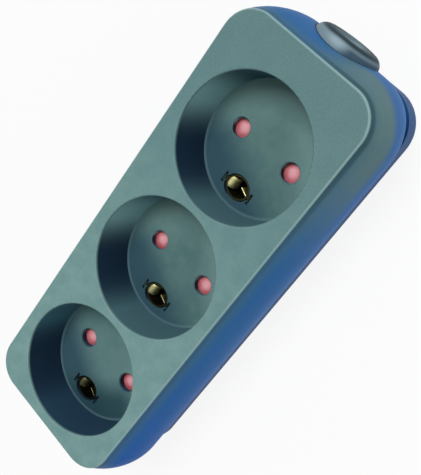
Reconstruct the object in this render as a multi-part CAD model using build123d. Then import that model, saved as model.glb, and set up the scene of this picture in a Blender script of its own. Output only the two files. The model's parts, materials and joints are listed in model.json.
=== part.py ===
from build123d import *
import math
import os

# Trailing socket strip: a moulded cover with three deep round outlets, a shallow base screwed
# on from below, a round cord inlet on one end, and a sprung safety shutter under each outlet.
# Frame: +X towards the cord inlet, +Z up, origin on the underside below the middle outlet.
# Everything is in millimetres.

# Outer form, measured at the top face. The lands are the flat strips of the top face between
# two wells and from the last well to each end. Below a low upright rim the flank swells out like a
# cushion and comes back in at the seam; the corners get rounder with it.
height = 36.0
outlet_count = 3
outlet_land = 2.3
blind_land = 3.4
inlet_land = 10.1
corner_r = 9.0
rim_height = 1.2
side_swell = 4.0
inlet_swell = 2.6
blind_swell = 4.0
corner_swell = 6.0
side_lean = 0.2
end_lean = 1.9
corner_growth = 2.8
top_edge_r = 0.8
base_flange = 0.5
base_corner_r = 11.2
base_lean = 0.3
bottom_edge_r = 0.8

# Walls and the joint between cover and base
wall = 2.2
roof = 2.4
base_floor = 2.0
base_edge = 7.9
seam_groove = 0.7
lip_height = 3.2
lip_wall = 1.0
lip_clearance = 0.1

# Outlets
recess_rim_r = 19.6
recess_draft = 0.7
recess_depth = 14.1
recess_floor = 1.7
rim_edge_r = 0.4
pin_spacing = 19.0
pin_r = 2.4
pin_hole_clearance = 0.35
pin_hole_chamfer = 0.3
earth_offset = 13.2
earth_half_x = 3.6
earth_half_y = 4.3
earth_slot_width = 1.8
earth_slot_reach = 5.0

# Safety shutters, turning on a pivot under each outlet
pivot_r = 1.6
pivot_running = 0.05
shutter_gap = 0.2
shutter_plate = 1.2
shutter_dome = 0.7
shutter_overlap = 0.65
shutter_arm_half = 1.7
shutter_hub_r = 3.4
shutter_hub_height = 2.6
shutter_travel = 36.0
stop_r = 1.2
stop_gap = 0.1
peg_r = 0.8
peg_reach = 5.4
peg_length = 2.2
spring_wire = 0.5
spring_coil_r = 2.5
spring_pitch = 0.55
spring_full_turns = 1
spring_gap = 0.2
spring_post_r = 0.9
spring_post_angle = 18.0
spring_leg_past = 0.6
washer_r = 3.2
washer_thickness = 0.6
washer_clearance = 0.02
pivot_tail = 0.4

# Brass rails and contacts
contact_wall = 0.7
contact_clearance = 0.02
contact_slit = 1.0
contact_low = 4.0
contact_below_shutter = 2.2
contact_flare = 0.4
rail_thickness = 0.8
rail_gap = 0.4
rail_low = 5.0
rail_height = 5.0
earth_wall = 0.5
earth_contact_gap = 0.3
earth_contact_drop = 0.5
earth_ear_width = 1.2
earth_ear_height = 2.9
earth_ear_gap = 0.3

# Terminals
terminal_length = 8.0
terminal_width = 7.0
terminal_height = 8.0
terminal_start = 8.5
wire_hole_r = 1.5
screw_fit = 0.05
terminal_screw_r = 1.3
terminal_screw_length = 4.0
terminal_head_r = 2.2
terminal_head_height = 1.6
slot_width = 0.6
slot_depth = 0.7

# Case screws, from below into bosses of the cover
case_screw_inset = 6.3
boss_r = 3.2
boss_rib = 1.6
boss_rib_gap = 1.0
boss_low = 11.0
standoff_r = 3.9
head_clearance = 0.3
head_seat = 4.0
case_head_r = 2.7
case_head_height = 1.8
case_screw_r = 1.45
case_screw_length = 16.0
case_screw_clearance = 0.15
cross_slot = 3.0

# Cord inlet and clamp
inlet_r = 9.8
inlet_reach = 2.2
inlet_axis = 18.5
inlet_edge_r = 3.0
inlet_bore_r = 4.6
inlet_bore_chamfer = 0.8
clamp_gap = 0.4
clamp_post_y = 8.5
clamp_post_r = 2.6
clamp_post_rise = 2.2
clamp_screw_r = 1.3
clamp_screw_length = 9.0
clamp_head_r = 2.3
clamp_head_height = 1.6
clamp_bar_width = 5.0
clamp_bar_thickness = 2.2
clamp_bar_clearance = 0.2
clamp_ridge = 0.8
saddle_thickness = 2.0
cord_r = 4.0

# Surge varistor
varistor_r = 5.5
varistor_thickness = 4.0
varistor_y = -4.0
varistor_rise = 7.5
lead_r = 0.4

# How many steps the swelling flank is drawn in, how far a cut runs past a face, and how
# closely an edge that is looked for must match
flank_steps = 4
upwards = (Align.CENTER, Align.CENTER, Align.MIN)
past = 1.0
close = 0.01

# Worked out from the sizes above
outlet_pitch = 2 * recess_rim_r + outlet_land
outlets = [(i - (outlet_count - 1) / 2) * outlet_pitch for i in range(outlet_count)]
top_start = outlets[0] - recess_rim_r - blind_land
top_end = outlets[-1] + recess_rim_r + inlet_land
recess_floor_r = recess_rim_r - recess_draft
floor_top = height - recess_depth
floor_under = floor_top - recess_floor
cover_edge = base_edge + seam_groove
lip_top = cover_edge + lip_height
pin_y = pin_spacing / 2
pin_hole_r = pin_r + pin_hole_clearance
shutter_lobe_r = pin_hole_r + shutter_overlap
shutter_top = floor_under - shutter_gap
shutter_under = shutter_top - shutter_dome - shutter_plate
hub_under = shutter_top - shutter_hub_height
peg_side = peg_r + spring_wire / 2 + spring_gap
post_side = spring_post_r + spring_wire / 2 + spring_gap
spring_start = spring_post_angle + math.degrees(math.acos((spring_coil_r + post_side) / peg_reach))
spring_end = 270 - math.degrees(math.acos((spring_coil_r + peg_side) / peg_reach))
spring_rise = spring_pitch * (spring_full_turns + (spring_end - spring_start) / 360)
spring_leg = math.sqrt(peg_reach**2 - (spring_coil_r + peg_side) ** 2) + spring_leg_past
spring_low = hub_under - spring_gap - spring_wire - spring_rise
washer_top = spring_low - spring_gap
washer_low = washer_top - washer_thickness
pivot_end = washer_low - pivot_tail
contact_top = shutter_under - contact_below_shutter
contact_r = pin_r + contact_clearance
rail_y = pin_y + contact_r + contact_wall / 2
earth_outer_x = earth_half_x - earth_contact_gap
earth_outer_y = earth_half_y - earth_contact_gap
earth_rail_y = earth_outer_y - earth_wall / 2
case_screw_x = [(a + b) / 2 for a, b in zip(outlets, outlets[1:])]
head_bore_r = case_head_r + head_clearance
clamp_post_top = inlet_axis + clamp_post_rise
case_screw_y = rail_y + rail_thickness + rail_gap + standoff_r
half_width = case_screw_y + case_screw_inset
case_screws_at = [(x, side * case_screw_y) for x in case_screw_x for side in (-1, 1)]
terminal_low = rail_low
terminal_x = outlets[-1] + terminal_start
terminal_y = {
    "line": rail_y - terminal_width / 2,
    "earth": earth_rail_y - terminal_width / 2,
    "neutral": terminal_width / 2 - rail_y,
}


def flank(swell, lean, z):
    """How far a flank with this swell and lean stands out at height z."""
    share = (height - rim_height - z) / (height - rim_height - cover_edge)
    return 4 * swell * share * (1 - share) + lean * share


def inlet_wall(z):
    """X of the outer face of the inlet end at height z."""
    return top_end + flank(inlet_swell, end_lean, z)


clamp_x = inlet_wall(cover_edge) - wall - clamp_gap - clamp_post_r


def plan(low_x, high_x, half_y, radius, inset=0.0):
    """A rounded rectangle given by its limits, moved in by inset."""
    shape = RectangleRounded(high_x - low_x - 2 * inset, 2 * (half_y - inset), radius - inset)
    return Pos((low_x + high_x) / 2, 0) * shape


def outline(z, inset=0.0):
    """The cover's plan outline at height z, moved in by inset."""
    low_x = top_start - flank(blind_swell, end_lean, z)
    half_y = half_width + flank(side_swell, side_lean, z)
    radius = corner_r + flank(corner_swell, corner_growth, z)
    return plan(low_x, inlet_wall(z), half_y, radius, inset)


def base_outline(z, inset=0.0):
    """The base's plan outline at height z, moved in by inset."""
    in_here = base_lean * (base_edge - z) / base_edge + inset
    half_y = half_width + side_lean + base_flange
    return plan(top_start - end_lean, top_end + end_lean, half_y, base_corner_r, in_here)


def inside(low, high, inset):
    """A straight-sided block as wide as the cover at its lower edge, moved in by inset."""
    return prism(outline(cover_edge, inset), low, high)


def post(x, y, low, high, radius):
    """An upright cylinder between two heights."""
    return Pos(x, y, low) * Cylinder(radius, high - low, align=upwards)


def bar(x_range, y_range, z_range):
    """A straight bar given by its limits on each axis."""
    sizes = [high - low for low, high in (x_range, y_range, z_range)]
    middles = [(high + low) / 2 for low, high in (x_range, y_range, z_range)]
    return Pos(*middles) * Box(*sizes)


def prism(sketch, low, high):
    """A plan sketch raised from one height to another."""
    return extrude(Pos(0, 0, low) * sketch, amount=high - low)


def circles_at(shape, z, radius):
    """The shape's circular edges of one radius at one height."""
    found = shape.edges().filter_by(GeomType.CIRCLE)
    return [e for e in found if abs(e.center().Z - z) < close and abs(e.radius - radius) < close]


def outer_skin():
    """The cover's outer form, with its rounded top edge."""
    rim_low = height - rim_height
    step = (rim_low - cover_edge) / flank_steps
    levels = [cover_edge + step * i for i in range(flank_steps + 1)]
    skin = loft([Pos(0, 0, z) * outline(z) for z in levels])
    skin += prism(outline(rim_low), rim_low, height)
    return fillet(skin.faces().sort_by(Axis.Z)[-1].edges(), top_edge_r)


def inlet_collar():
    """The round collar that the cord goes in through, rounded at its mouth."""
    mouth = inlet_wall(inlet_axis) + inlet_reach
    back = inlet_wall(cover_edge) - wall / 2
    collar = Plane((back, 0, inlet_axis), x_dir=(0, 1, 0), z_dir=(1, 0, 0)) * Cylinder(
        inlet_r, mouth - back, align=upwards
    )
    return fillet(collar.faces().sort_by(Axis.X)[-1].edges(), inlet_edge_r)


def inlet_bore():
    """The hole through collar and wall, opened out a little at its mouth."""
    mouth = inlet_wall(inlet_axis) + inlet_reach
    back = inlet_wall(cover_edge) - 2 * wall
    profile = Polyline(
        (back, 0),
        (back, inlet_bore_r),
        (mouth - inlet_bore_chamfer, inlet_bore_r),
        (mouth, inlet_bore_r + inlet_bore_chamfer),
        (mouth + past, inlet_bore_r + inlet_bore_chamfer),
        (mouth + past, 0),
        close=True,
    )
    return Pos(0, 0, inlet_axis) * revolve(Plane.XZ * make_face(profile), Axis.X)


def cup(x):
    """The outside of one outlet's well, from under its floor up into the roof."""
    rise = height - roof / 2 - floor_under
    tub = Cone(recess_floor_r + wall, recess_rim_r + wall, rise, align=upwards)
    return Pos(x, 0, floor_under) * tub


def recess(x):
    """The open well of one outlet."""
    return Pos(x, 0, floor_top) * Cone(recess_floor_r, recess_rim_r, recess_depth, align=upwards)


def earth_opening(x):
    """The oval earth opening with a slot at each end, as a plan sketch."""
    sketch = Ellipse(earth_half_x, earth_half_y)
    sketch += Rectangle(earth_slot_width, 2 * earth_slot_reach)
    return Pos(x - earth_offset, 0) * sketch


def pin_holes(x):
    """The two pin holes of one outlet, with a small lead-in."""
    holes = []
    for side in (-1, 1):
        hole = post(x, side * pin_y, floor_under - past, floor_top + past, pin_hole_r)
        lead = Pos(x, side * pin_y, floor_top - pin_hole_chamfer) * Cone(
            pin_hole_r,
            pin_hole_r + 2 * pin_hole_chamfer,
            2 * pin_hole_chamfer,
            align=upwards,
        )
        holes += [hole, lead]
    return holes


def spring_post_place(x):
    """Where the fixed end of a shutter spring is held."""
    angle = math.radians(spring_post_angle)
    return x + peg_reach * math.cos(angle), peg_reach * math.sin(angle)


def shutter_stops(x):
    """The two pegs that one lobe meets when the shutter is closed and when it is open."""
    apart = math.degrees(2 * math.asin((shutter_lobe_r + stop_r + stop_gap) / pin_spacing))
    pegs = []
    for angle in (90 - apart, 90 + shutter_travel + apart):
        turn = math.radians(angle)
        px, py = x + pin_y * math.cos(turn), pin_y * math.sin(turn)
        pegs.append(post(px, py, shutter_under, floor_under + recess_floor / 2, stop_r))
    return pegs


def screw_boss(x, y):
    """One boss of the cover with the rib that ties it to the long wall."""
    side = math.copysign(1, y)
    wall_y = side * (half_width - wall / 2)
    y_range = sorted((y, wall_y))
    tower = post(x, y, boss_low, height - roof / 2, boss_r)
    rib = bar((x - boss_rib / 2, x + boss_rib / 2), y_range, (lip_top + boss_rib_gap, height - roof / 2))
    return tower + rib


def cover():
    """The moulded cover: walls, wells, pivots, screw bosses and the inlet collar."""
    cavity = inside(cover_edge, lip_top, lip_wall + lip_clearance)
    cavity += inside(lip_top, height - roof, wall)
    body = outer_skin() + inlet_collar() - cavity
    for x in outlets:
        body += cup(x)
    for x, y in case_screws_at:
        body += screw_boss(x, y)
    for x in outlets:
        body += post(x, 0, pivot_end, floor_under + recess_floor / 2, pivot_r)
        px, py = spring_post_place(x)
        body += post(px, py, spring_low, floor_under + recess_floor / 2, spring_post_r)
        for peg in shutter_stops(x):
            body += peg
    body -= inlet_bore()
    for x in outlets:
        body -= recess(x)
        body -= prism(earth_opening(x), floor_under - past, floor_top + past)
        for hole in pin_holes(x):
            body -= hole
    body = fillet(circles_at(body, height, recess_rim_r), rim_edge_r)
    for x, y in case_screws_at:
        body -= post(x, y, boss_low - past, height - roof, case_screw_r + screw_fit)
    return body


def standoff(x, y):
    """The base's screw tube that meets one boss of the cover."""
    return post(x, y, 0, boss_low, standoff_r)


def clamp_saddle():
    """The two posts and the notched wall that hold the cord under the clamp bar."""
    body = None
    for side in (-1, 1):
        tower = post(clamp_x, side * clamp_post_y, base_floor / 2, clamp_post_top, clamp_post_r)
        body = tower if body is None else body + tower
    notch_low = inlet_axis - cord_r
    half = saddle_thickness / 2
    across = (-clamp_post_y, clamp_post_y)
    body += bar((clamp_x - half, clamp_x + half), across, (base_floor / 2, inlet_axis))
    notch = Pos(clamp_x, 0, inlet_axis) * Rot(0, 90, 0) * Cylinder(cord_r, 2 * saddle_thickness)
    body -= notch
    body -= bar(
        (clamp_x - clamp_post_r, clamp_x + clamp_post_r),
        (-cord_r, cord_r),
        (notch_low + cord_r, clamp_post_top),
    )
    for side in (-1, 1):
        hole_low = clamp_post_top - clamp_screw_length
        hole_top = clamp_post_top + past
        body -= post(clamp_x, side * clamp_post_y, hole_low, hole_top, clamp_screw_r + screw_fit)
    return body


def base():
    """The shallow base: tray, joint lip, ribs, contact pads, screw tubes and cord clamp posts."""
    tray = loft([base_outline(0), Pos(0, 0, base_edge) * base_outline(base_edge)], ruled=True)
    tray = fillet(tray.faces().sort_by(Axis.Z)[0].edges(), bottom_edge_r)
    inset = lip_wall + 2 * lip_clearance
    tray += inside(base_floor, lip_top, inset)
    tray -= inside(base_floor, lip_top + past, inset + lip_wall)
    for x in case_screw_x:
        rib = (x - boss_rib / 2, x + boss_rib / 2)
        tray += bar(rib, (-case_screw_y, case_screw_y), (base_floor / 2, rail_low))
    for x in outlets:
        for side in (-1, 1):
            tray += post(x, side * pin_y, base_floor / 2, contact_low, contact_r + contact_wall)
        tray += post(x - earth_offset, 0, base_floor / 2, contact_low, earth_outer_y)
    tray += bar(
        (terminal_x, terminal_x + terminal_length),
        (-rail_y, rail_y),
        (base_floor / 2, terminal_low),
    )
    tray += clamp_saddle()
    for x, y in case_screws_at:
        tray += standoff(x, y)
        tray -= post(x, y, -past, head_seat, head_bore_r)
        tray -= post(x, y, head_seat - past, boss_low + past, case_screw_r + case_screw_clearance)
    return tray


def shutter_lobe(x, y):
    """The domed cap of one lobe, which closes a pin hole."""
    ball_r = (shutter_lobe_r**2 + shutter_dome**2) / (2 * shutter_dome)
    ball = Pos(x, y, shutter_top - ball_r) * Sphere(ball_r)
    return ball & post(x, y, shutter_top - shutter_dome, shutter_top + past, shutter_lobe_r)


def shutter(x):
    """One safety shutter: two domed lobes on a hub, with the peg that its spring pushes."""
    shape = Circle(shutter_hub_r) + Rectangle(2 * shutter_arm_half, pin_spacing)
    for side in (-1, 1):
        shape += Pos(0, side * pin_y) * Circle(shutter_lobe_r)
    body = prism(Pos(x, 0) * shape, shutter_under, shutter_top - shutter_dome)
    for side in (-1, 1):
        body += shutter_lobe(x, side * pin_y)
    body += post(x, 0, hub_under, shutter_top, shutter_hub_r)
    body += post(x, -peg_reach, shutter_under - peg_length, shutter_under, peg_r)
    body -= post(x, 0, hub_under - past, shutter_top + past, pivot_r + pivot_running)
    return body


def shutter_spring(x):
    """The torsion spring round one pivot, its ends against the cover's post and the peg."""
    coil = Rot(0, 0, spring_start) * Helix(spring_pitch, spring_rise, spring_coil_r)
    fixed_leg = Line(coil @ 0 - (coil % 0) * spring_leg, coil @ 0)
    moving_leg = Line(coil @ 1, coil @ 1 + (coil % 1) * spring_leg)
    path = Wire([fixed_leg, coil, moving_leg])
    section = Plane(path @ 0, z_dir=path % 0) * Circle(spring_wire / 2)
    return Pos(x, 0, spring_low + spring_wire / 2) * sweep(section, path=path)


def washer(x):
    """The push-on washer that keeps one shutter and its spring on the pivot."""
    ring = post(x, 0, washer_low, washer_top, washer_r)
    ring -= post(x, 0, washer_low - past, washer_top + past, pivot_r + washer_clearance)
    return ring


def contact_sleeve(x, y):
    """One curled pin contact, slit on its inner side and flared at its mouth."""
    outer = contact_r + contact_wall
    tube = post(x, y, contact_low, contact_top, outer)
    tube -= post(x, y, contact_low - past, contact_top + past, contact_r)
    tube -= Pos(x, y, contact_top - contact_flare) * Cone(
        contact_r, contact_r + contact_flare, contact_flare, align=upwards
    )
    inner = sorted((y, y - math.copysign(outer + past, y)))
    half = contact_slit / 2
    tube -= bar((x - half, x + half), inner, (rail_low + rail_height, contact_top + past))
    return tube


def power_rail(side):
    """A rail along one row of pins, stamped in one piece with its curled contacts."""
    y_range = sorted((side * rail_y, side * (rail_y + rail_thickness)))
    x_range = (outlets[0] - contact_r, terminal_x + terminal_length)
    rail = bar(x_range, y_range, (rail_low, rail_low + rail_height))
    for x in outlets:
        rail += contact_sleeve(x, side * pin_y)
    return rail


def earth_sleeve(x):
    """One oval earth contact with an ear at each end that stands in the opening's slots."""
    centre = Pos(x - earth_offset, 0)
    top = floor_top - earth_contact_drop
    outer = Ellipse(earth_outer_x, earth_outer_y)
    inner = Ellipse(earth_outer_x - earth_wall, earth_outer_y - earth_wall)
    body = prism(centre * outer, contact_low, top)
    ear_y = earth_slot_reach - earth_ear_gap
    ears = Rectangle(earth_ear_width, 2 * ear_y)
    body += prism(centre * ears, top - earth_ear_height, top)
    body -= prism(centre * inner, contact_low - past, top + past)
    return body


def earth_rail():
    """The earth rail with its oval contacts in one piece."""
    y_range = (earth_rail_y, earth_rail_y + rail_thickness)
    x_range = (outlets[0] - earth_offset, terminal_x + terminal_length)
    rail = bar(x_range, y_range, (rail_low, rail_low + rail_height))
    for x in outlets:
        rail += earth_sleeve(x)
    return rail


def terminal(y):
    """A brass terminal block with its wire hole and its screw hole."""
    top = terminal_low + terminal_height
    x_range = (terminal_x, terminal_x + terminal_length)
    body = bar(x_range, (y - terminal_width / 2, y + terminal_width / 2), (terminal_low, top))
    middle = terminal_x + terminal_length / 2
    wire = Pos(middle, y, terminal_low + terminal_height / 2) * Rot(0, 90, 0)
    body -= wire * Cylinder(wire_hole_r, 2 * terminal_length)
    body -= post(middle, y, terminal_low + terminal_height / 2, top + past, terminal_screw_r + screw_fit)
    return body


def slotted_screw(x, y, seat, shank_r, length, head_r, head_height):
    """A cheese-head screw whose head sits on the height called seat."""
    body = post(x, y, seat - length, seat, shank_r)
    body += post(x, y, seat, seat + head_height, head_r)
    half = slot_width / 2
    top = seat + head_height
    body -= bar((x - half, x + half), (y - head_r, y + head_r), (top - slot_depth, top + past))
    return body


def terminal_screws():
    """The three terminal screws."""
    middle = terminal_x + terminal_length / 2
    seat = terminal_low + terminal_height
    sizes = (terminal_screw_r, terminal_screw_length, terminal_head_r, terminal_head_height)
    return Compound([slotted_screw(middle, y, seat, *sizes) for y in terminal_y.values()])


def clamp_bar():
    """The bar across the cord, with a ridge that bites its sheath."""
    low = clamp_post_top
    top = low + clamp_bar_thickness
    shape = SlotOverall(2 * (clamp_post_y + clamp_post_r), clamp_bar_width, rotation=90)
    body = prism(Pos(clamp_x, 0) * shape, low, top)
    half_x = saddle_thickness / 2
    half_y = cord_r - clamp_ridge
    body += bar((clamp_x - half_x, clamp_x + half_x), (-half_y, half_y), (low - clamp_ridge, low))
    hole_r = clamp_screw_r + clamp_bar_clearance
    for side in (-1, 1):
        body -= post(clamp_x, side * clamp_post_y, low - past, top + past, hole_r)
    return body


def clamp_screws():
    """The two screws of the cord clamp."""
    seat = clamp_post_top + clamp_bar_thickness
    sizes = (clamp_screw_r, clamp_screw_length, clamp_head_r, clamp_head_height)
    return Compound([slotted_screw(clamp_x, side * clamp_post_y, seat, *sizes) for side in (-1, 1)])


def case_screw(x, y):
    """One case screw, its head up in the base's counterbore."""
    body = post(x, y, head_seat, head_seat + case_screw_length, case_screw_r)
    body += post(x, y, head_seat - case_head_height, head_seat, case_head_r)
    low = head_seat - case_head_height
    half = slot_width / 2
    arm = cross_slot / 2
    body -= bar((x - half, x + half), (y - arm, y + arm), (low - past, low + slot_depth))
    body -= bar((x - arm, x + arm), (y - half, y + half), (low - past, low + slot_depth))
    return body


def case_screws():
    """The screws that hold cover and base together."""
    return Compound([case_screw(x, y) for x, y in case_screws_at])


def varistor():
    """The surge varistor, a disc standing on a rib with a lead to each power rail."""
    x = case_screw_x[-1]
    centre_z = rail_low + varistor_r
    disc = Pos(x, varistor_y, centre_z) * Rot(0, 90, 0) * Cylinder(varistor_r, varistor_thickness)
    disc = fillet(disc.edges().filter_by(GeomType.CIRCLE), varistor_thickness / 4)
    lead_z = rail_low + varistor_rise
    mid_rail = rail_low + rail_height / 2
    far_y = rail_y - lead_r
    over = Plane((x, varistor_y, lead_z), z_dir=(0, 1, 0))
    over *= Cylinder(lead_r, far_y - varistor_y, align=upwards)
    down = post(x, far_y, mid_rail, lead_z + lead_r, lead_r)
    back = Plane((x, varistor_y, mid_rail), z_dir=(0, -1, 0))
    back *= Cylinder(lead_r, varistor_y + rail_y, align=upwards)
    return disc + over + down + back


nodes = {
    "cover": cover(),
    "base": base(),
    "line_rail": power_rail(1),
    "neutral_rail": power_rail(-1),
    "earth_rail": earth_rail(),
    "terminal_screws": terminal_screws(),
    "clamp_bar": clamp_bar(),
    "clamp_screws": clamp_screws(),
    "case_screws": case_screws(),
    "varistor": varistor(),
}
for name, y in terminal_y.items():
    nodes[name + "_terminal"] = terminal(y)
for number, x in enumerate(outlets, start=1):
    nodes[f"shutter_{number}"] = shutter(x)
    nodes[f"shutter_spring_{number}"] = shutter_spring(x)
    nodes[f"shutter_washer_{number}"] = washer(x)

os.makedirs("parts", exist_ok=True)
for name, shape in nodes.items():
    export_step(shape, f"parts/{name}.step")
    print(name, "written,", len(shape.solids()), "solid(s)")
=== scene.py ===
# %% [markdown]
# # A trailing socket strip
#
# A strip of three deep round outlets, moulded in grey-teal plastic, lying on a pale table. The
# exact shapes come from the CAD model, which is loaded first and never changed. What is left for
# Blender is what a photographer and a painter would do: a camera, soft light, and finishes that
# have grain, gloss and wear, and that carry painted light and painted shade as well.

# %% Load the frame
import json
import math

import bpy
from mathutils import Matrix, Vector


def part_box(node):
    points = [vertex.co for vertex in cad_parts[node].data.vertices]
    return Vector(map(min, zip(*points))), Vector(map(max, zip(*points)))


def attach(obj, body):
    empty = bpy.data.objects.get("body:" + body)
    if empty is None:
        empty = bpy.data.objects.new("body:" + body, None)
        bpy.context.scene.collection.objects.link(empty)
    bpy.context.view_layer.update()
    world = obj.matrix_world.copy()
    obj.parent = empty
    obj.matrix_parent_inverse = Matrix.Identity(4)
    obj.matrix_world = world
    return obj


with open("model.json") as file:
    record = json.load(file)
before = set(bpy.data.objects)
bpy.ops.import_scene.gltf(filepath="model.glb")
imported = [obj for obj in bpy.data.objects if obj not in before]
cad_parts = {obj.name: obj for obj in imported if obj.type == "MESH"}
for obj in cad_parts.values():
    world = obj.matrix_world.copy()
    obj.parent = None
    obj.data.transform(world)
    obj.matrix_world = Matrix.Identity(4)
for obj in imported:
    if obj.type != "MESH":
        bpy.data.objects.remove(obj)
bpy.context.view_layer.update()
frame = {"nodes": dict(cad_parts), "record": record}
nodes = frame["nodes"]
MM = 0.001

# %% [markdown]
# ## The camera
#
# The picture was taken from close by, steeply from above, with the strip lying askew in it. A
# camera can be aimed with three facts: where it stands, what it looks along, and how far it is
# rolled round that line. Its lens is given for a 36 mm film, measured along the longer side of
# the picture.

# %% The camera
CAMERA_PLACE = Vector((96.8, -73.9, 207.1)) * MM
CAMERA_LOOK = Vector((-0.3919, 0.3302, -0.8587))
CAMERA_ROLL = math.radians(-98.38)
CAMERA_LENS = 58.57
FILM_WIDTH = 36.0
NEAREST_SEEN = 0.01

lens = bpy.data.cameras.new("portrait_lens")
lens.lens = CAMERA_LENS
lens.sensor_width = FILM_WIDTH
lens.clip_start = NEAREST_SEEN
camera = bpy.data.objects.new("portrait_camera", lens)
bpy.context.scene.collection.objects.link(camera)
aim = CAMERA_LOOK.to_track_quat("-Z", "Y").to_matrix().to_4x4()
camera.matrix_world = Matrix.Translation(CAMERA_PLACE) @ aim @ Matrix.Rotation(CAMERA_ROLL, 4, "Z")
bpy.context.scene.camera = camera
print("camera", [round(v, 4) for v in camera.matrix_world.translation], "lens", lens.lens)

# %% [markdown]
# ## Shader maths as plain expressions
#
# A material is a graph of nodes. Wiring every sum by hand hides what is meant, so a small class
# stands for a number on a socket: adding or multiplying two of them adds the Math node that does
# it. The reflected forms let a plain number stand on the left, as in `1 - mask`.


# %% A number on a socket
class Number:
    """A value that may vary over the surface, written into expressions like a plain number."""

    def __init__(self, paint, socket):
        self.paint = paint
        self.socket = socket

    def math(self, operation, *others):
        """What a Math node makes of this number and the others."""
        inputs = dict(enumerate([self, *others]))
        return self.paint.node("Math", {"operation": operation}, inputs).out()

    def __add__(self, other):
        return self.math("ADD", other)

    def __sub__(self, other):
        return self.math("SUBTRACT", other)

    def __mul__(self, other):
        return self.math("MULTIPLY", other)

    def __truediv__(self, other):
        return self.math("DIVIDE", other)

    def __radd__(self, other):
        return self.math("ADD", other)

    def __rmul__(self, other):
        return self.math("MULTIPLY", other)

    def __rsub__(self, other):
        return self.paint.node("Math", {"operation": "SUBTRACT"}, {0: other, 1: self}).out()

    def __neg__(self):
        return self * -1.0

    def rise(self, start, end):
        """0 at start and 1 at end, with a soft step between them."""
        settings = {"interpolation_type": "SMOOTHSTEP"}
        inputs = {"Value": self, "From Min": start, "From Max": end}
        return self.paint.node("MapRange", settings, inputs).out()

    def band(self, start, end, soft):
        """1 between start and end, with soft edges outside them."""
        return self.rise(start - soft, start) * (1 - self.rise(end, end + soft))


# %% [markdown]
# A second class keeps one node tree, of a material or of the world. Every node is made by the
# same method: its type, its settings, then the values or links of its sockets. Settings come
# first, because some of them decide which sockets there are. The Mix node, for one, has a set of
# sockets for each kind of value, and those for colours are known by their numbers.


# %% A node tree
MIX_SHARE, MIX_FIRST, MIX_SECOND, MIX_RESULT = 0, 6, 7, 2


class Paint:
    """One procedural finish, built up node by node."""

    def __init__(self, owner, output="OutputMaterial"):
        self.owner = owner
        owner.use_nodes = True
        self.tree = owner.node_tree
        self.tree.nodes.clear()
        self.output = self.tree.nodes.new("ShaderNode" + output)

    def node(self, kind, settings=None, inputs=None):
        """Adds a node and returns a small handle on its outputs."""
        node = self.tree.nodes.new("ShaderNode" + kind)
        for key, value in (settings or {}).items():
            setattr(node, key, value)
        for key, value in (inputs or {}).items():
            socket = node.inputs[key]
            source = getattr(value, "socket", value)
            if isinstance(source, bpy.types.NodeSocket):
                self.tree.links.new(source, socket)
            else:
                socket.default_value = source
        return Made(self, node)

    def place(self):
        """The point on the object, in millimetres, as a vector."""
        point = self.node("TexCoord").out("Object")
        return self.node("VectorMath", {"operation": "SCALE"}, {0: point, "Scale": 1 / MM}).out()

    def axes(self, vector):
        """The three numbers of a vector."""
        split = self.node("SeparateXYZ", None, {0: vector})
        return [split.out(axis) for axis in ("X", "Y", "Z")]

    def facing(self):
        """The surface's own direction, as three numbers."""
        return self.axes(self.node("TexCoord").out("Normal"))

    def drawn_out(self, vector, scale):
        """A place that changes more slowly along the axes whose scale is small."""
        return self.node("Mapping", None, {"Vector": vector, "Scale": scale}).out()

    def noise(self, vector, size, detail=2.0, roughness=0.5):
        """Soft noise whose spots are about size millimetres across."""
        inputs = {"Vector": vector, "Scale": 1.0 / size, "Detail": detail, "Roughness": roughness}
        return self.node("TexNoise", None, inputs).out("Fac")

    def mix(self, share, first, second):
        """Two colours mixed by a share that may vary."""
        settings = {"data_type": "RGBA", "clamp_result": True}
        inputs = {MIX_SHARE: share, MIX_FIRST: first, MIX_SECOND: second}
        return self.node("Mix", settings, inputs).out(MIX_RESULT)

    def glaze(self, colour, *layers):
        """Lays tints over a colour one by one, each as strongly as its share says."""
        for share, tint in layers:
            colour = self.mix(share, colour, tint)
        return colour

    def bump(self, height, distance, strength):
        """A normal from a height, where height 1 stands distance millimetres proud."""
        inputs = {"Height": height, "Distance": distance * MM, "Strength": strength}
        return self.node("Bump", None, inputs).out("Normal")

    def finish(self, shader):
        """Connects the last shader and hands over what the tree belongs to."""
        self.tree.links.new(shader.socket, self.output.inputs["Surface"])
        print("finish", self.owner.name, "has", len(self.tree.nodes), "nodes")
        return self.owner

    def surface(self, inputs):
        """Finishes a material with the Principled shader, the one for real surfaces."""
        return self.finish(self.node("BsdfPrincipled", None, inputs).out("BSDF"))


class Made:
    """A node that was made, and its outputs."""

    def __init__(self, paint, node):
        self.paint = paint
        self.node = node

    def out(self, name=0):
        return Number(self.paint, self.node.outputs[name])


def new_paint(name):
    """The empty node tree of a new material."""
    return Paint(bpy.data.materials.new(name))


# %% [markdown]
# Colours are easiest to judge as they look on a screen, but light adds up in linear numbers. One
# helper turns the first into the second.


# %% Colours
def screen(red, green, blue):
    """A colour given as 0 to 255 on a screen, as Blender's linear numbers."""

    def linear(value):
        share = value / 255
        return share / 12.92 if share <= 0.04045 else ((share + 0.055) / 1.055) ** 2.4

    return (linear(red), linear(green), linear(blue), 1.0)


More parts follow.
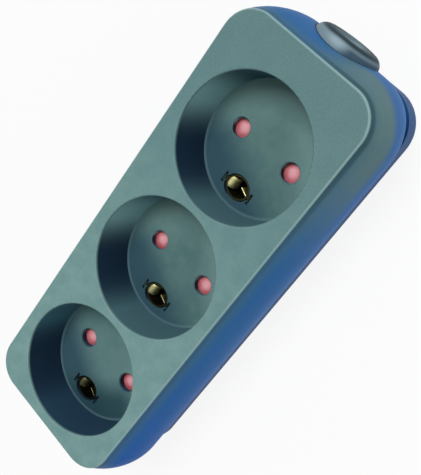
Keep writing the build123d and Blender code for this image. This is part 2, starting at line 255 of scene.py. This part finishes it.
WHITE = screen(255, 255, 255)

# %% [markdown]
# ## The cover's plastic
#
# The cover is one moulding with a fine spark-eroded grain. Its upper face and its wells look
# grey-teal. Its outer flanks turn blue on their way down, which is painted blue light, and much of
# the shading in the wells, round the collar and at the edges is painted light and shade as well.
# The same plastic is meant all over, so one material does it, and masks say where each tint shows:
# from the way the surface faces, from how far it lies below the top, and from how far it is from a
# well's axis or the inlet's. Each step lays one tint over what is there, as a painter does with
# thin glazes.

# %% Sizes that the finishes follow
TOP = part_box("cover")[1].z / MM
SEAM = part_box("cover")[0].z / MM
OUTLET_PITCH = 41.5
OUTLETS = (-OUTLET_PITCH, 0.0, OUTLET_PITCH)
WELL_RADIUS = 19.6
PIN_OFFSET = 9.5
EARTH_OFFSET = 13.2
SLEEVE_INSIDE = (2.8, 3.5)
print("cover from", round(SEAM, 2), "to", round(TOP, 2), "mm")

# %% [markdown]
# Three finishes change from outlet to outlet, or repeat at each of them. Dividing a place by the
# pitch and rounding it gives the number of the nearest outlet, and what is left over is the
# distance from the middle of that one, so a pattern is written once and shows three times.


# %% Which outlet a point belongs to
def outlet_at(x):
    """-1 at the blind end's outlet, 0 at the middle one and 1 at the inlet's."""
    return (x / OUTLET_PITCH).math("ROUND").math("MINIMUM", 1.0).math("MAXIMUM", -1.0)


def from_outlet(x):
    """How far along the strip a point lies from the middle of its outlet."""
    return x - outlet_at(x) * OUTLET_PITCH


def length(first, second):
    """How long a line is whose two parts stand square to each other."""
    return (first * first + second * second).math("SQRT")


# %% [markdown]
# The cover's tints share their masks, so these are worked out once. A wall that faces sideways
# is a well's wall inside a rim and the outer flank outside of it. The collar is all that lies
# close to the inlet's axis and past the end wall.

# %% Where a point of the cover lies
RIM_ROUNDING = 0.6
INLET_AXIS = 18.5
COLLAR_EDGE = (10.05, 10.3)
COLLAR_START = (70.0, 71.0)


class CoverPoint:
    """Where a point of the cover lies and how it faces, as numbers and masks."""

    def __init__(self, paint):
        self.place = paint.place()
        self.x, self.y, self.z = paint.axes(self.place)
        self.face_x, self.face_y, self.up = paint.facing()
        self.depth = TOP - self.z
        self.mottle = paint.noise(self.place, 5.0, detail=4.0, roughness=0.6)
        self.outlet = outlet_at(self.x)
        self.across = self.x - self.outlet * OUTLET_PITCH
        self.radius = length(self.across, self.y)
        self.in_well = 1 - self.radius.rise(WELL_RADIUS, WELL_RADIUS + RIM_ROUNDING)
        self.past_first = self.outlet.rise(-1.0, 0.0)
        self.sideways = 1 - self.up.rise(0.55, 0.9)
        self.flank = self.sideways * (1 - self.in_well)
        from_inlet = length(self.y, self.z - INLET_AXIS)
        self.collar = (1 - from_inlet.rise(*COLLAR_EDGE)) * self.x.rise(*COLLAR_START)
        near_inlet = self.x.rise(20.0, 64.0) * (-self.y).rise(-6.0, 14.0)
        self.inlet_corner = near_inlet * (1 - self.depth.rise(9.0, 15.0))

    def towards(self, x_part, y_part):
        """How far a point lies from its outlet's axis, in one direction of the plan."""
        return x_part * self.across + y_part * self.y


# %% [markdown]
# The top face is a soft, cloudy grey-teal with fine light specks, and painted shade makes it a
# little darker towards the inlet.


# %% The top face
def top_tint(paint, at):
    speck = paint.noise(at.place, 0.5, detail=2.0)
    clouds = at.mottle.rise(0.3, 0.7)
    # Painted shade: the top face darkens towards the inlet end.
    painted_shade_to_inlet = at.x.rise(-40.0, 75.0)
    return paint.glaze(
        screen(112, 149, 148),
        (clouds, screen(124, 160, 158)),
        (painted_shade_to_inlet * 0.8, screen(90, 122, 124)),
        (speck.rise(0.45, 0.75) * 0.25, screen(130, 161, 159)),
    )


# %% [markdown]
# A well's floor lies 14 mm deep, so it sees little of the lamps: it is darker than the top, more
# so under the wall at the blind end's side and in that corner, and lighter where light falls in
# past the rim and towards the blind end. Where the floor meets the wall, a paler ring is a painted
# highlight. The lamps give some of this, and the tints make up the rest as painted shade and
# painted light.

# %% The wells' floors
UNDER_WALL = (-0.9, 0.45)
BLIND_CORNER = (-0.75, -0.65)
LIT_SIDE = (0.65, -0.76)
LIT_END = (0.74, 0.68)
FLOOR_RING = (18.3, 19.0)
FLOOR_DEPTH = (13.0, 13.8)
LIT_TEAL = screen(132, 168, 164)


def floor_tint(paint, at):
    clouds = at.mottle.rise(0.35, 0.65)
    # Painted light towards the blind end and on the lit side and end, painted shade under the wall
    # and in the corner, and a painted highlight ring; the clouds are the plastic's own tone.
    painted_light_to_blind_end = at.x.rise(-10.0, -60.0)
    shaded = at.towards(*UNDER_WALL).rise(1.0, 13.0)
    painted_corner_shade = at.towards(*BLIND_CORNER).rise(4.0, 13.0)
    lit_side = at.towards(*LIT_SIDE).rise(4.0, 15.0)
    lit_end = at.towards(*LIT_END).rise(4.0, 15.0)
    painted_ring_highlight = at.radius.band(*FLOOR_RING, 0.3) * at.depth.rise(*FLOOR_DEPTH)
    return paint.glaze(
        screen(84, 118, 118),
        (clouds, screen(94, 127, 124)),
        (painted_light_to_blind_end * 0.6, screen(108, 144, 144)),
        (shaded * 0.85, screen(44, 74, 90)),
        (painted_corner_shade * (0.9 - 0.8 * at.past_first), screen(40, 70, 80)),
        (lit_side * 0.55, LIT_TEAL),
        (lit_end * 0.35 * at.past_first, LIT_TEAL),
        (painted_ring_highlight * 0.4, screen(104, 134, 140)),
    )


# %% [markdown]
# The wells' walls run from deep blue painted shade, where they face the lit side, to a painted
# pale teal light as they turn round, and those of the outlet at the blind end are painted darker
# as shade. The surface's own direction says which way a wall faces, so the tints follow the part
# and not the camera. The earth opening ends in a slot on each side, and a dark bar of painted
# shade shows each slot.

# %% The wells' walls and the earth slots
SLOT_HALF = (1.55, 1.8)
SLOT_REACH = (4.55, 5.2)


def wall_tint(paint, at):
    lit_crosswise = (-at.face_y).rise(0.5, 1.0)
    first_well_in_shade = paint.mix(lit_crosswise, screen(46, 76, 98), screen(66, 108, 122))
    other_wells = paint.mix(lit_crosswise, screen(84, 120, 130), screen(136, 180, 182))
    side_x, side_y = LIT_SIDE
    shaded_wall = (side_x * at.face_x + side_y * at.face_y).rise(0.7, 1.0)
    at_inlet = at.outlet.rise(0.0, 1.0)
    far_end_shade = paint.mix(at_inlet, screen(62, 104, 114), screen(44, 76, 86))
    # Painted shade darkens the first well, the walls that face the lit side and the far ends;
    # painted light brightens the walls that face crosswise.
    return paint.glaze(
        first_well_in_shade,
        (at.past_first, other_wells),
        (shaded_wall, screen(30, 50, 70)),
        ((-at.face_x).rise(0.2, 0.8), far_end_shade),
    )


# Painted shade: a near-black bar at each end of the earth opening shows the dark of its slot.
def painted_slot_shade(at):
    from_middle = (at.across + EARTH_OFFSET).math("ABSOLUTE")
    reach = at.y.math("ABSOLUTE")
    bar = (1 - from_middle.rise(*SLOT_HALF)) * reach.band(*SLOT_REACH, 0.15)
    return bar * at.up.rise(0.8, 0.95) * at.in_well


# %% [markdown]
# The flank's colour is painted light: blue low down and towards the blind end, and greyer where
# it starts to face up. Round the inlet's corner a greener grey is painted light too.


# %% The outer flank
def flank_tint(paint, at):
    # Painted light: the blue, the grey-green round the inlet's corner and the grey under the rim;
    # only the clouds are the plastic's own tone.
    painted_low_down = at.depth.rise(3.0, 20.0)
    painted_light_to_blind_end = at.x.rise(0.0, -60.0)
    painted_light_under_rim = 1 - at.depth.rise(1.5, 6.0)
    clouds = at.mottle.rise(0.35, 0.65)
    return paint.glaze(
        screen(38, 98, 156),
        (painted_low_down, screen(34, 102, 170)),
        (painted_light_to_blind_end, screen(20, 90, 168)),
        (at.inlet_corner * 0.85, screen(98, 126, 116)),
        (painted_light_under_rim * 0.6, screen(70, 106, 114)),
        (clouds * 0.15, screen(52, 104, 146)),
    )


# %% [markdown]
# The collar that the cord passes through has painted shade at its root and its mouth, and a
# painted highlight on top.

# %% The cord collar
COLLAR_ROOT = (75.2, 76.4)
HIGHLIGHT_PLACE = (75.4, -0.5)
HIGHLIGHT_SHORTER = 2.6


def collar_tint(paint, at):
    # Painted shade at the mouth and at the root, and a painted highlight on top.
    mouth_shade = at.face_x.rise(0.55, 0.9)
    root_shade = (1 - at.x.rise(*COLLAR_ROOT)) * (-at.y).rise(0.0, 5.0)
    highlight_x, highlight_y = HIGHLIGHT_PLACE
    from_highlight = length(at.y - highlight_y, HIGHLIGHT_SHORTER * (at.x - highlight_x))
    collar_highlight = (1 - from_highlight.rise(0.5, 4.5)) * at.up.rise(0.3, 0.8)
    return paint.glaze(
        screen(122, 144, 153),
        (mouth_shade, screen(28, 50, 60)),
        (root_shade * 0.8, screen(22, 52, 74)),
        (collar_highlight * 0.6, screen(158, 180, 188)),
    )


# %% [markdown]
# Last come the edges: a painted highlight lies along the rounded top edge, and a dark line of
# painted shade lies in the fold under the rim, deeper round the inlet's corner. Then all tints go
# over each other, and a fine noise as bump gives the grain. The gloss is low, because this plastic
# mirrors hardly anything.


# %% The cover's finish
def painted_edge_light_and_shade(at):
    # A painted highlight along the top edge, and painted shade in the fold under the rim.
    edge_highlight = at.up.band(0.3, 0.85, 0.1) * (1 - at.depth.rise(0.7, 1.0)) * (1 - at.in_well)
    fold_shade = at.depth.band(1.5, 2.0, 0.6) * at.flank * (1 - at.collar)
    deep_fold_shade = at.depth.band(1.4, 2.2, 0.8) * at.flank * at.inlet_corner
    return (
        (edge_highlight * 0.65, screen(154, 184, 182)),
        (fold_shade * 0.25, screen(44, 78, 96)),
        (deep_fold_shade * 0.55, screen(30, 62, 72)),
    )


def cover_plastic():
    paint = new_paint("cover_plastic")
    at = CoverPoint(paint)
    colour = paint.glaze(
        top_tint(paint, at),
        (at.in_well * at.depth.rise(0.6, 2.0), floor_tint(paint, at)),
        (at.sideways * at.in_well * at.depth.rise(0.4, 1.2), wall_tint(paint, at)),
        (painted_slot_shade(at), screen(16, 26, 28)),
        (at.flank, flank_tint(paint, at)),
        (at.collar, collar_tint(paint, at)),
        *painted_edge_light_and_shade(at),
    )
    grain = paint.noise(at.place, 0.22, detail=3.0, roughness=0.65)
    return paint.surface(
        {
            "Base Color": colour,
            "Roughness": 0.48 + 0.1 * at.mottle,
            "Specular IOR Level": 0.09,
            "Normal": paint.bump(grain, 0.03, 0.45),
        }
    )


# %% [markdown]
# ## The base's plastic
#
# The base is the deeper blue band under the seam. It is the same kind of plastic, and its
# underside has rubbed on tables. Noise drawn out along the strip, on what faces down, gives
# those duller, lighter streaks.


# %% The base's finish
def base_plastic():
    paint = new_paint("base_plastic")
    place = paint.place()
    down = -paint.facing()[2]
    mottle = paint.noise(place, 6.0, detail=4.0, roughness=0.6)
    streaks = paint.noise(paint.drawn_out(place, (0.12, 1.0, 1.0)), 0.7, detail=3.0)
    rub = streaks.rise(0.56, 0.7) * down.rise(0.8, 0.95)
    tint = paint.glaze(
        screen(20, 70, 122),
        (mottle.rise(0.3, 0.7), screen(28, 82, 136)),
        (rub * 0.5, screen(104, 136, 160)),
    )
    grain = paint.noise(place, 0.25, detail=3.0, roughness=0.6)
    return paint.surface(
        {
            "Base Color": tint,
            "Roughness": 0.44 + 0.25 * rub + 0.08 * mottle,
            "Specular IOR Level": 0.08,
            "Normal": paint.bump(grain, 0.025, 0.45),
        }
    )


# %% [markdown]
# ## Shutters, brass, steel and the rest
#
# The pink shutters behind the pin holes are a smooth, slightly waxy plastic, so a little light
# goes into them and comes out again. A lighter spot round each pin's axis is a painted highlight.


# %% The shutters' finish
def shutter_plastic():
    paint = new_paint("shutter_plastic")
    place = paint.place()
    x, y = paint.axes(place)[:2]
    mottle = paint.noise(place, 1.6, detail=3.0)
    from_pin = length(from_outlet(x), y.math("ABSOLUTE") - PIN_OFFSET)
    # Painted highlight: a lighter spot round each pin's axis.
    pin_highlight = 1 - from_pin.rise(0.4, 2.4)
    tint = paint.glaze(
        screen(196, 98, 106),
        (mottle.rise(0.3, 0.7), screen(210, 116, 124)),
        (pin_highlight * (0.5 + 0.5 * mottle), screen(244, 180, 188)),
    )
    return paint.surface(
        {
            "Base Color": tint,
            "Roughness": 0.34 + 0.12 * mottle,
            "Specular IOR Level": 0.5,
            "Subsurface Weight": 0.15,
            "Subsurface Radius": (0.6, 0.25, 0.2),
            "Subsurface Scale": MM,
            "Normal": paint.bump(mottle, 0.02, 0.3),
        }
    )


# %% [markdown]
# The contacts are stamped brass: bright, with fine rolling lines along the sheet and patches of
# tarnish. Painted shade makes them brown and dark low down and darker on one side, they are
# darker at the blind end, and painted shade makes them darkest along the rim of each oval sleeve.
# An ellipse as wide as the sleeve's opening tells that rim from the leaves inside.


# %% Stamped brass
def stamped_brass():
    paint = new_paint("stamped_brass")
    place = paint.place()
    x, y, z = paint.axes(place)
    rolled = paint.noise(paint.drawn_out(place, (0.15, 1.0, 0.6)), 0.12, detail=4.0, roughness=0.7)
    tarnish = paint.noise(place, 2.2, detail=4.0, roughness=0.6).rise(0.45, 0.72)
    # Painted shade low down and on one side; the contacts are also darker at the blind end.
    painted_low_down = 1 - z.rise(12.0, 18.5)
    at_blind_end = x.rise(-20.0, -50.0) * 0.7
    in_shade = x.rise(10.0, -10.0) * (-y).rise(0.0, 0.6) * 0.6
    blind_end_and_shade = at_blind_end + in_shade
    from_x = (from_outlet(x) + EARTH_OFFSET) / SLEEVE_INSIDE[0]
    from_y = y / SLEEVE_INSIDE[1]
    # Painted shade: the rim of each oval sleeve is near-black.
    sleeve_shade = (from_x * from_x + from_y * from_y).rise(0.9, 1.0)
    tint = paint.glaze(
        screen(234, 228, 164),
        (tarnish * 0.5, screen(160, 146, 84)),
        (painted_low_down, screen(92, 66, 34)),
        (blind_end_and_shade.math("MINIMUM", 0.9), screen(60, 60, 42)),
        (sleeve_shade * 0.97, screen(26, 30, 24)),
    )
    return paint.surface(
        {
            "Base Color": tint,
            "Metallic": 1.0,
            "Roughness": 0.34 + 0.2 * tarnish + 0.08 * rolled + 0.15 * sleeve_shade,
            "Normal": paint.bump(rolled, 0.01, 0.3),
        }
    )


# %% [markdown]
# Screws and springs are zinc-plated steel. Zinc grows in crystals, which a Voronoi pattern
# gives, and a soft noise lays grime over it.


# %% Zinc-plated steel
def plated_steel():
    paint = new_paint("plated_steel")
    place = paint.place()
    spangle = paint.node("TexVoronoi", None, {"Vector": place, "Scale": 1.4}).out("Distance")
    grime = paint.noise(place, 1.8, detail=3.0).rise(0.5, 0.75)
    return paint.surface(
        {
            "Base Color": paint.mix(grime * 0.6, screen(158, 161, 165), screen(104, 104, 102)),
            "Metallic": 1.0,
            "Roughness": 0.24 + 0.12 * spangle + 0.2 * grime,
            "Normal": paint.bump(spangle, 0.01, 0.2),
        }
    )


# %% [markdown]
# Two finishes lie inside the housing and show only when it is opened. The clamp bar is natural
# plastic, milky and a little cloudy. The varistor is dipped in blue epoxy, which is thick,
# uneven and glossy.


# %% The clamp bar's natural plastic
def clamp_plastic():
    paint = new_paint("clamp_plastic")
    cloud = paint.noise(paint.place(), 3.0, detail=3.0)
    return paint.surface(
        {
            "Base Color": paint.mix(cloud, screen(214, 212, 202), screen(226, 225, 218)),
            "Roughness": 0.4 + 0.15 * cloud,
            "Subsurface Weight": 0.2,
            "Subsurface Radius": (0.8, 0.8, 0.7),
            "Subsurface Scale": MM,
            "Normal": paint.bump(cloud, 0.05, 0.2),
        }
    )


# %% The varistor's dipped epoxy
def dipped_epoxy():
    paint = new_paint("dipped_epoxy")
    dips = paint.noise(paint.place(), 2.4, detail=2.0)
    return paint.surface(
        {
            "Base Color": paint.mix(dips, screen(30, 66, 136), screen(40, 82, 158)),
            "Roughness": 0.18 + 0.1 * dips,
            "Coat Weight": 0.4 + 0.2 * dips,
            "Normal": paint.bump(dips, 0.15, 0.4),
        }
    )


# %% [markdown]
# ## Giving the nodes their finishes
#
# A CAD node keeps its mesh and only gets a new material in its slot. The record already says
# which finish each node has, so the table goes from the record's slot to the material made above.

# %% Assign
finishes = {
    "cover_plastic": cover_plastic(),
    "base_plastic": base_plastic(),
    "shutter_plastic": shutter_plastic(),
    "clamp_plastic": clamp_plastic(),
    "brass": stamped_brass(),
    "steel": plated_steel(),
    "varistor_epoxy": dipped_epoxy(),
}
for subpart in frame["record"]["subparts"]:
    mesh = nodes[subpart["node"]].data
    mesh.materials.clear()
    mesh.materials.append(finishes[subpart["material_slot"]])

# %% [markdown]
# ## The springy leaves of the earth contacts
#
# Each oval earth contact grips its pin with two springy pieces of brass, which show in the
# opening: a wide leaf that rolls over at the +Y end, and a narrow blade on edge at the other.
# Each is modelled once at the middle of the strip, and a copy with its own mesh goes to each
# outlet. The helpers do what is done by hand each time: deselect everything, pick edges by their
# place, add and apply a modifier, and finish and copy the piece.

# %% Helpers for the leaves
SMOOTH_BELOW = math.radians(40)


def start_shaping():
    """Deselects everything, so that the next operators act on the new piece alone."""
    if bpy.context.object and bpy.context.object.mode != "OBJECT":
        bpy.ops.object.mode_set(mode="OBJECT")
    bpy.ops.object.select_all(action="DESELECT")


def pick_edges(piece, test):
    """Selects, in edit mode, the edges whose two ends both pass the test."""
    bpy.ops.object.mode_set(mode="EDIT")
    bpy.ops.mesh.select_mode(type="EDGE")
    bpy.ops.mesh.select_all(action="DESELECT")
    bpy.ops.object.mode_set(mode="OBJECT")
    mesh = piece.data
    for edge in mesh.edges:
        edge.select = all(test(mesh.vertices[i].co) for i in edge.vertices)
    bpy.ops.object.mode_set(mode="EDIT")


def apply_modifier(piece, kind, **settings):
    """Adds a modifier with its settings and applies it."""
    modifier = piece.modifiers.new(kind.title(), kind)
    for key, value in settings.items():
        setattr(modifier, key, value)
    bpy.ops.object.modifier_apply(modifier=modifier.name)


def one_at_each_outlet(piece, name):
    """Finishes the piece, then copies it so that each earth contact has its own mesh of it."""
    bpy.ops.object.shade_smooth_by_angle(angle=SMOOTH_BELOW)
    piece.data.materials.clear()
    piece.data.materials.append(finishes["brass"])
    copies = [piece.copy() for _ in OUTLETS[1:]]
    for each in copies:
        each.data = piece.data.copy()
        bpy.context.scene.collection.objects.link(each)
    for number, (each, outlet) in enumerate(zip([piece, *copies], OUTLETS), start=1):
        each.name = f"{name}_{number}"
        each.data.transform(Matrix.Translation(((outlet - EARTH_OFFSET) * MM, 0, 0)))
        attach(each, "housing")
    size = [round(v / MM, 2) for v in piece.dimensions]
    print(name, size, "mm,", len(piece.data.polygons), "faces, 3 of it")


# %% [markdown]
# The leaf could be a bent solid, but a sheet is what the factory starts from too: one edge of a
# small plane is extruded step by step along the bend, seen here from the side as Y and Z, and
# Solidify gives the sheet its gauge.

# %% The wide leaf
LEAF_WIDTH = 3.3
LEAF_GAUGE = 0.35
LEAF_TIP = 0.3
LEAF_EDGE = 0.08
LEAF_BEND = [(3.25, 21.15), (2.9, 21.2), (2.3, 21.0), (1.7, 20.5), (1.3, 19.7)]
LEAF_BEND += [(1.25, 18.8), (1.6, 17.6), (2.2, 16.2), (2.8, 14.6), (3.1, 12.8)]

start_shaping()
(tip_y, tip_z), *bend = LEAF_BEND
bpy.ops.mesh.primitive_plane_add(size=1.0, location=(0, tip_y * MM, tip_z * MM))
leaf = bpy.context.object
leaf.scale = (LEAF_WIDTH * MM, LEAF_TIP * MM, 1.0)
bpy.ops.object.transform_apply(location=True, rotation=False, scale=True)
pick_edges(leaf, lambda co: co.y < tip_y * MM)
y, z = tip_y - LEAF_TIP / 2, tip_z
for next_y, next_z in bend:
    step = (0.0, (next_y - y) * MM, (next_z - z) * MM)
    bpy.ops.mesh.extrude_region_move(TRANSFORM_OT_translate={"value": step})
    y, z = next_y, next_z
bpy.ops.object.mode_set(mode="OBJECT")
apply_modifier(leaf, "SUBSURF", levels=2, render_levels=2)
apply_modifier(leaf, "SOLIDIFY", thickness=LEAF_GAUGE * MM, offset=0.0)
apply_modifier(leaf, "BEVEL", width=LEAF_EDGE * MM, segments=2, limit_method="ANGLE")
one_at_each_outlet(leaf, "contact_leaf")

# %% [markdown]
# The blade is a flat strip that stands on edge, slightly askew, so its upper edge shows as a thin
# bright line. A cube is stretched to the strip and its upper corners are rounded off.

# %% The narrow blade
BLADE_FROM = (0.65, -0.75)
BLADE_TO = (-0.4, -3.3)
BLADE_LOW = 13.5
BLADE_TOP = 21.0
BLADE_GAUGE = 0.4
BLADE_ROUND = 0.12
BLADE_EDGE = 0.06
AT_THE_TOP = 0.1

start_shaping()
start, end = Vector(BLADE_FROM), Vector(BLADE_TO)
middle = (start + end) / 2
centre = (middle.x * MM, middle.y * MM, (BLADE_LOW + BLADE_TOP) / 2 * MM)
along = end - start
turn = (0, 0, math.atan2(along.y, along.x))
bpy.ops.mesh.primitive_cube_add(size=1.0, location=centre, rotation=turn)
blade = bpy.context.object
blade.scale = (along.length * MM, BLADE_GAUGE * MM, (BLADE_TOP - BLADE_LOW) * MM)
bpy.ops.object.transform_apply(location=True, rotation=True, scale=True)
pick_edges(blade, lambda co: co.z > (BLADE_TOP - AT_THE_TOP) * MM)
bpy.ops.mesh.bevel(offset=BLADE_ROUND * MM, segments=3)
bpy.ops.object.mode_set(mode="OBJECT")
apply_modifier(blade, "BEVEL", width=BLADE_EDGE * MM, segments=2, limit_method="ANGLE")
one_at_each_outlet(blade, "contact_blade")

# %% [markdown]
# ## The table and the light
#
# The strip lies on a white table that runs out of the picture on all sides. The camera should
# see it as white and still see the soft shadow that seats the strip, so the table mixes its own
# diffuse white with plain white light for rays that come from the camera, from gloss or through
# glass. The world further on asks the same of a ray.

# %% The table
TABLE_SIZE = 6.0
TABLE_WHITE = (0.86, 0.86, 0.86, 1.0)
GLOW_SHARE = 0.88


def followed_by_eye(paint):
    """1 for a ray that the eye follows, straight, by a reflection or through glass."""
    rays = paint.node("LightPath")
    either = rays.out("Is Camera Ray").math("MAXIMUM", rays.out("Is Glossy Ray"))
    return either.math("MAXIMUM", rays.out("Is Transmission Ray"))


def table_white():
    paint = new_paint("table_white")
    seen = followed_by_eye(paint)
    diffuse = paint.node("BsdfDiffuse", None, {"Color": TABLE_WHITE})
    glow = paint.node("Emission", None, {"Color": WHITE, "Strength": 1.0})
    both = paint.node("MixShader", None, {0: seen * GLOW_SHARE, 1: diffuse.out(), 2: glow.out()})
    return paint.finish(both.out())


start_shaping()
bpy.ops.mesh.primitive_plane_add(size=TABLE_SIZE, location=(0, 0, 0))
table = bpy.context.object
table.name = "table"
table.data.materials.append(table_white())
print("table", [round(v, 2) for v in table.dimensions])

# %% [markdown]
# A large soft lamp stands high up, a little towards the inlet end, so the top face is even and
# the wells' walls fall into shade. A weak one low down on the long side that the camera sees
# keeps that flank readable. Sizes and distances are in metres, powers in watts.


# %% The lamps
def soft_lamp(name, towards, distance, size, power):
    """A square area lamp that stands in a direction from the strip and looks at it."""
    data = bpy.data.lights.new(name, "AREA")
    data.shape = "SQUARE"
    data.size = size
    data.energy = power
    lamp = bpy.data.objects.new(name, data)
    bpy.context.scene.collection.objects.link(lamp)
    way = Vector(towards).normalized()
    turn = (-way).to_track_quat("-Z", "Y").to_matrix().to_4x4()
    lamp.matrix_world = Matrix.Translation(way * distance) @ turn


soft_lamp("key_lamp", towards=(0.40, 0.12, 0.91), distance=1.8, size=0.8, power=21.0)
soft_lamp("fill_lamp", towards=(0.30, -0.85, 0.42), distance=1.2, size=0.8, power=2.5)

# %% [markdown]
# The world fills the rest. What the eye follows meets a white backdrop, and all other rays meet
# a dimmer world, so the strip isn't washed out. Colours are shown as they are, without a film
# look.

# %% The world
AMBIENT_STRENGTH = 0.3
BACKDROP_STRENGTH = 1.0


def studio():
    paint = Paint(bpy.data.worlds.new("studio"), "OutputWorld")
    seen = followed_by_eye(paint)
    ambient = paint.node("Background", None, {"Color": WHITE, "Strength": AMBIENT_STRENGTH})
    backdrop = paint.node("Background", None, {"Color": WHITE, "Strength": BACKDROP_STRENGTH})
    both = paint.node("MixShader", None, {0: seen, 1: ambient.out(), 2: backdrop.out()})
    return paint.finish(both.out())


bpy.context.scene.world = studio()
bpy.context.scene.view_settings.view_transform = "Standard"
